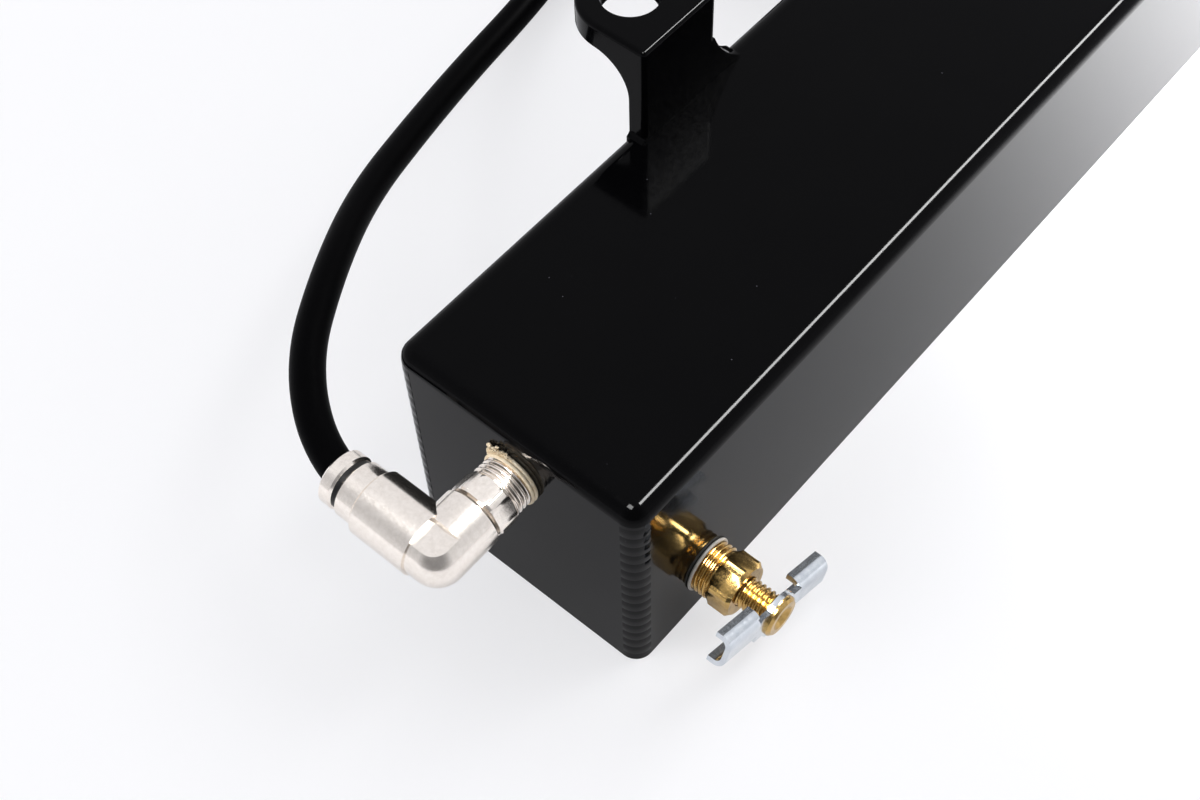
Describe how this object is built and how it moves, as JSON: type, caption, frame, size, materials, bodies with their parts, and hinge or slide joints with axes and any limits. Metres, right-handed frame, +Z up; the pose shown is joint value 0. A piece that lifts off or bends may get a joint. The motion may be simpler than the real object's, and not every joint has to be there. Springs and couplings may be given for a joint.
{
  "type": "catch can",
  "caption": "Long folded and welded catch can in black with upright mounting lugs, a push-in hose elbow at one end and a winged drain valve low on the side.",
  "frame": {"origin": "centre of the base's underside", "axes": "+Z up, +Y along the can away from the hose end, +X towards the drain valve"},
  "size_m": [0.1588, 0.2784, 0.0715],
  "materials": {
    "black_powder_coat": "gloss black powder coat on folded and welded sheet",
    "bare_aluminium": "turned",
    "nickel_plate": "bright nickel plate on forged and turned brass",
    "valve_brass": "turned",
    "seal_rubber": "moulded",
    "spring_steel": "stamped and formed wire",
    "zinc_plate": "bright zinc plate on stamped sheet",
    "black_acetal": "moulded",
    "black_nylon": "extruded, semi-gloss",
    "tan_sealant": "squeezed out and set",
    "grey_sealant": "squeezed out and set"
  },
  "bodies": {
    "can": {"can_shell": "black_powder_coat", "base_plate": "black_powder_coat", "corner_welds": "black_powder_coat", "front_bracket": "black_powder_coat", "rear_bracket": "black_powder_coat", "bracket_welds": "black_powder_coat", "inlet_bung": "bare_aluminium", "drain_bung": "bare_aluminium", "elbow_stud": "nickel_plate", "inlet_sealant": "tan_sealant", "swivel_seal": "seal_rubber", "valve_body": "valve_brass", "drain_sealant": "grey_sealant", "hose": "black_nylon", "hose_coil": "black_nylon", "coil_tie": "black_nylon"},
    "elbow": {"elbow_body": "nickel_plate", "swivel_clip": "spring_steel", "tube_seal": "seal_rubber", "grip_ring": "spring_steel", "collet_housing": "nickel_plate"},
    "release": {"collet": "black_acetal", "release_ring": "nickel_plate"},
    "stem_seal": {"stem_seal": "seal_rubber"},
    "stem": {"valve_stem": "valve_brass", "wing_handle": "zinc_plate"}
  },
  "joints": [
    {"name": "elbow_swivel", "type": "hinge", "parent": "can", "child": "elbow", "pos_m": [0, -0.1452, 0.0374], "axis": [0, 1, 0], "range_deg": [-45, 45], "deforming": ["hose"]},
    {"name": "release_slide", "type": "slide", "parent": "elbow", "child": "release", "axis": [1, 0, 0], "range_m": [0, 0.0008], "stiffness_N_per_m": 400},
    {"name": "drain_travel", "type": "slide", "parent": "can", "child": "stem_seal", "axis": [1, 0, 0], "range_m": [0, 0.00201]},
    {"name": "drain_turn", "type": "hinge", "parent": "stem_seal", "child": "stem", "pos_m": [0.026, -0.1085, 0.0115], "axis": [1, 0, 0], "range_deg": [0, 720]}
  ],
  "couplings": [
    {"joint": "drain_travel", "follows": "drain_turn", "m_per_rad": 0.00015915}
  ]
}
